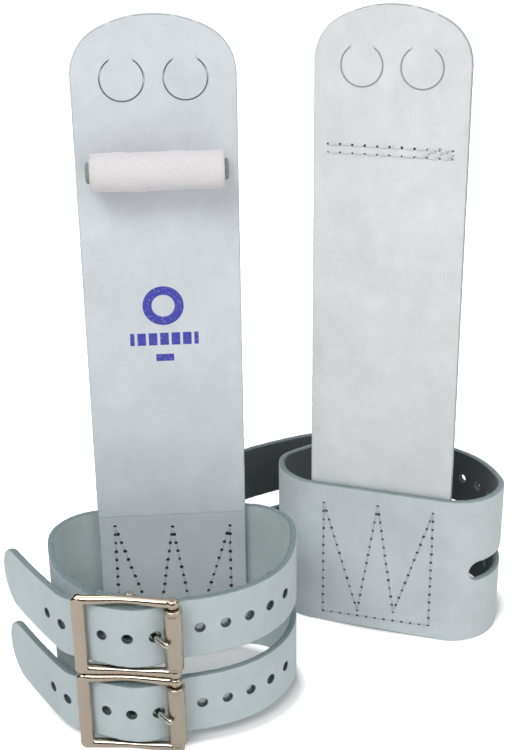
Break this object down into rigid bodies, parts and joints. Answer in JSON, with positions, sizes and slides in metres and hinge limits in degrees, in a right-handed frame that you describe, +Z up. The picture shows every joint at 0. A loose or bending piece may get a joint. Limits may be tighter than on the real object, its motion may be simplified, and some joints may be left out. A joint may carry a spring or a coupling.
{
  "type": "gymnastics hand grips",
  "caption": "Pair of leather gymnastics grips standing on buckled wristbands, with finger holes, a dowel roll and folding palms.",
  "frame": {"origin": "middle of the left wristband on the table", "axes": "+Z up along the palms, -Y towards the left buckles, +X across the left palm towards the right grip"},
  "size_m": [0.1593, 0.1151, 0.2],
  "materials": {
    "band_leather": "smooth full-grain, pale blue-grey",
    "palm_leather": "smooth full-grain, pale blue-grey",
    "cover_suede": "soft split suede, near white",
    "dowel_wood": "plain turned, dark",
    "thread": "twisted waxed thread",
    "frame_nickel": "nickel plate, polished edges",
    "roller_steel": "nickel plate, satin",
    "tongue_wire": "bright nickel wire"
  },
  "bodies": {
    "left_band_body": {"left_wrist_band": "band_leather", "left_palm_base": "palm_leather", "left_band_stitching": "thread", "left_tab_stitching": "thread", "left_upper_buckle_frame": "frame_nickel", "left_lower_buckle_frame": "frame_nickel"},
    "left_palm_body": {"left_palm_flap": "palm_leather", "left_dowel_core": "dowel_wood", "left_dowel_cover": "cover_suede", "left_dowel_stitching": "thread"},
    "left_outer_tab_body": {"left_outer_finger_tab": "palm_leather"},
    "left_inner_tab_body": {"left_inner_finger_tab": "palm_leather"},
    "left_upper_roller_body": {"left_upper_roller": "roller_steel"},
    "left_upper_tongue_body": {"left_upper_tongue": "tongue_wire"},
    "left_lower_roller_body": {"left_lower_roller": "roller_steel"},
    "left_lower_tongue_body": {"left_lower_tongue": "tongue_wire"},
    "right_band_body": {"right_wrist_band": "band_leather", "right_palm_base": "palm_leather", "right_band_stitching": "thread", "right_tab_stitching": "thread", "right_upper_buckle_frame": "frame_nickel", "right_lower_buckle_frame": "frame_nickel"},
    "right_palm_body": {"right_palm_flap": "palm_leather", "right_dowel_core": "dowel_wood", "right_dowel_cover": "cover_suede", "right_dowel_stitching": "thread"},
    "right_outer_tab_body": {"right_outer_finger_tab": "palm_leather"},
    "right_inner_tab_body": {"right_inner_finger_tab": "palm_leather"},
    "right_upper_roller_body": {"right_upper_roller": "roller_steel"},
    "right_upper_tongue_body": {"right_upper_tongue": "tongue_wire"},
    "right_lower_roller_body": {"right_lower_roller": "roller_steel"},
    "right_lower_tongue_body": {"right_lower_tongue": "tongue_wire"}
  },
  "joints": [
    {"name": "left_palm_fold", "type": "hinge", "parent": "left_band_body", "child": "left_palm_body", "pos_m": [0, 0.0208, 0.0486], "axis": [1, 0, 0], "range_deg": [0, 84], "stiffness_Nm_per_rad": 0.12},
    {"name": "left_outer_tab_fold", "type": "hinge", "parent": "left_palm_body", "child": "left_outer_tab_body", "pos_m": [-0.00855, 0.0208, 0.1883], "axis": [1, 0, 0], "range_deg": [-85, 85], "stiffness_Nm_per_rad": 0.0005},
    {"name": "left_inner_tab_fold", "type": "hinge", "parent": "left_palm_body", "child": "left_inner_tab_body", "pos_m": [0.00855, 0.0208, 0.1883], "axis": [1, 0, 0], "range_deg": [-85, 85], "stiffness_Nm_per_rad": 0.0005},
    {"name": "left_upper_roller_spin", "type": "hinge", "parent": "left_band_body", "child": "left_upper_roller_body", "pos_m": [-0.0007, -0.02814, 0.0383], "axis": [0, 0, 1], "continuous": true},
    {"name": "left_upper_tongue_lift", "type": "hinge", "parent": "left_band_body", "child": "left_upper_tongue_body", "pos_m": [-0.0125, -0.022, 0.0383], "axis": [0, 0, -1], "range_deg": [0, 3], "stiffness_Nm_per_rad": 0.0005},
    {"name": "left_lower_roller_spin", "type": "hinge", "parent": "left_band_body", "child": "left_lower_roller_body", "pos_m": [-0.0007, -0.02814, 0.0127], "axis": [0, 0, 1], "continuous": true},
    {"name": "left_lower_tongue_lift", "type": "hinge", "parent": "left_band_body", "child": "left_lower_tongue_body", "pos_m": [-0.0125, -0.022, 0.0127], "axis": [0, 0, -1], "range_deg": [0, 3], "stiffness_Nm_per_rad": 0.0005},
    {"name": "right_palm_fold", "type": "hinge", "parent": "right_band_body", "child": "right_palm_body", "pos_m": [0.06621, 0.0294, 0.0486], "axis": [-0.9232, 0.3843, 0], "range_deg": [0, 84], "stiffness_Nm_per_rad": 0.12},
    {"name": "right_outer_tab_fold", "type": "hinge", "parent": "right_palm_body", "child": "right_outer_tab_body", "pos_m": [0.05831, 0.03268, 0.1883], "axis": [-0.9232, 0.3843, 0], "range_deg": [-85, 85], "stiffness_Nm_per_rad": 0.0005},
    {"name": "right_inner_tab_fold", "type": "hinge", "parent": "right_palm_body", "child": "right_inner_tab_body", "pos_m": [0.0741, 0.02611, 0.1883], "axis": [-0.9232, 0.3843, 0], "range_deg": [-85, 85], "stiffness_Nm_per_rad": 0.0005},
    {"name": "right_upper_roller_spin", "type": "hinge", "parent": "right_band_body", "child": "right_upper_roller_body", "pos_m": [0.08437, 0.07485, 0.0383], "axis": [0, 0, 1], "continuous": true},
    {"name": "right_upper_tongue_lift", "type": "hinge", "parent": "right_band_body", "child": "right_upper_tongue_body", "pos_m": [0.07111, 0.07371, 0.0383], "axis": [0, 0, 1], "range_deg": [0, 3], "stiffness_Nm_per_rad": 0.0005},
    {"name": "right_lower_roller_spin", "type": "hinge", "parent": "right_band_body", "child": "right_lower_roller_body", "pos_m": [0.08437, 0.07485, 0.0127], "axis": [0, 0, 1], "continuous": true},
    {"name": "right_lower_tongue_lift", "type": "hinge", "parent": "right_band_body", "child": "right_lower_tongue_body", "pos_m": [0.07111, 0.07371, 0.0127], "axis": [0, 0, 1], "range_deg": [0, 3], "stiffness_Nm_per_rad": 0.0005},
    {"name": "right_grip_slide", "type": "slide", "parent": "left_band_body", "child": "right_band_body", "axis": [1, 0, 0], "range_m": [0, 0.12]}
  ]
}
